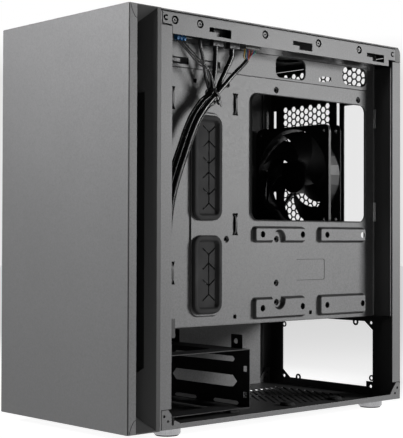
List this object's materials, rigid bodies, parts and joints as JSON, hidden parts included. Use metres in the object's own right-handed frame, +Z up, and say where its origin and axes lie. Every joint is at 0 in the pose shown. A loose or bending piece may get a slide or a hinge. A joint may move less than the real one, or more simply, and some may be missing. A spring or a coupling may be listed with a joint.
{
  "type": "computer tower case",
  "caption": "Compact computer tower case, empty, right side panel off: hinged front door, motherboard tray, power supply bay, drive cage, fans and front leads.",
  "frame": {"origin": "on the floor under the middle of the case's outer box", "axes": "+Z up, the door faces -Y, the open side faces +X"},
  "size_m": [0.21, 0.405, 0.408],
  "materials": {
    "tray_paint": "fine textured powder coat",
    "door_paint": "satin paint",
    "frame_paint": "fine textured powder coat",
    "interior_paint": "fine textured powder coat",
    "black_plastic": "fine grained moulding",
    "cable_sheath": "satin sheath",
    "rubber": "matte rubber",
    "foam": "matte damping felt",
    "filter_cloth": "fine nylon mesh",
    "chrome": "polished",
    "zinc": "nickel plated",
    "white_plastic": "moulded nylon",
    "circuit_board": "solder mask"
  },
  "bodies": {
    "chassis": {"motherboard_tray": "tray_paint", "power_supply_shroud": "tray_paint", "front_chassis_panel": "frame_paint", "roof_panel": "frame_paint", "floor_panel": "frame_paint", "rear_panel": "interior_paint", "drive_cage": "interior_paint", "slot_cover_1": "interior_paint", "slot_cover_2": "interior_paint", "slot_cover_3": "interior_paint", "slot_cover_4": "interior_paint", "front_bezel": "black_plastic", "io_panel": "black_plastic", "front_fan_frame": "black_plastic", "rear_fan_frame": "black_plastic", "usb_header_plug": "black_plastic", "media_header_plug": "black_plastic", "audio_header_plug": "black_plastic", "switch_header_plug": "black_plastic", "cable_tie": "black_plastic", "usb_cable_front": "cable_sheath", "usb_cable_rear": "cable_sheath", "media_cable": "cable_sheath", "audio_cable": "cable_sheath", "switch_lead": "cable_sheath", "upper_cable_grommet": "rubber", "lower_cable_grommet": "rubber", "power_supply_pad_1": "rubber", "power_supply_pad_2": "rubber", "power_supply_pad_3": "rubber", "power_supply_pad_4": "rubber", "front_left_foot_pad": "rubber", "front_right_foot_pad": "rubber", "rear_left_foot_pad": "rubber", "rear_right_foot_pad": "rubber", "front_dust_filter": "filter_cloth", "front_left_foot_ring": "chrome", "front_right_foot_ring": "chrome", "rear_left_foot_ring": "chrome", "rear_right_foot_ring": "chrome", "usb_port_front": "zinc", "usb_port_rear": "zinc", "card_reader": "zinc", "media_plug": "white_plastic", "io_board": "circuit_board"},
    "door": {"door_skin": "door_paint", "door_frame": "frame_paint", "door_damping_sheet": "foam", "upper_hinge_pin": "zinc", "lower_hinge_pin": "zinc"},
    "side_panel": {"left_side_panel": "door_paint", "side_panel_damping_sheet": "foam", "upper_panel_thumbscrew": "zinc", "lower_panel_thumbscrew": "zinc"},
    "top_lid": {"top_cover": "black_plastic"},
    "bottom_filter": {"bottom_dust_filter": "filter_cloth"},
    "rear_rotor": {"rear_fan_rotor": "black_plastic"},
    "front_rotor": {"front_fan_rotor": "black_plastic"},
    "power_key": {"power_button": "black_plastic"},
    "reset_key": {"reset_button": "black_plastic"}
  },
  "joints": [
    {"name": "door_hinge", "type": "hinge", "parent": "chassis", "child": "door", "pos_m": [-0.1003, -0.1967, 0.209], "axis": [0, 0, -1], "range_deg": [0, 92]},
    {"name": "side_panel_slide", "type": "slide", "parent": "chassis", "child": "side_panel", "axis": [0, 1, 0], "range_m": [0, 0.02]},
    {"name": "top_cover_lift", "type": "slide", "parent": "chassis", "child": "top_lid", "axis": [0, 0, 1], "range_m": [0, 0.04]},
    {"name": "bottom_filter_slide", "type": "slide", "parent": "chassis", "child": "bottom_filter", "axis": [0, 1, 0], "range_m": [0, 0.14]},
    {"name": "rear_fan_spin", "type": "hinge", "parent": "chassis", "child": "rear_rotor", "pos_m": [-0.0425, 0.18095, 0.2665], "axis": [0, 1, 0], "continuous": true},
    {"name": "front_fan_spin", "type": "hinge", "parent": "chassis", "child": "front_rotor", "pos_m": [0, -0.14945, 0.29], "axis": [0, 1, 0], "continuous": true},
    {"name": "power_button_press", "type": "slide", "parent": "chassis", "child": "power_key", "axis": [0, 0, -1], "range_m": [0, 0.0015], "stiffness_N_per_m": 600, "springref_m": -0.0005},
    {"name": "reset_button_press", "type": "slide", "parent": "chassis", "child": "reset_key", "axis": [0, 0, -1], "range_m": [0, 0.0015], "stiffness_N_per_m": 600, "springref_m": -0.0005}
  ]
}
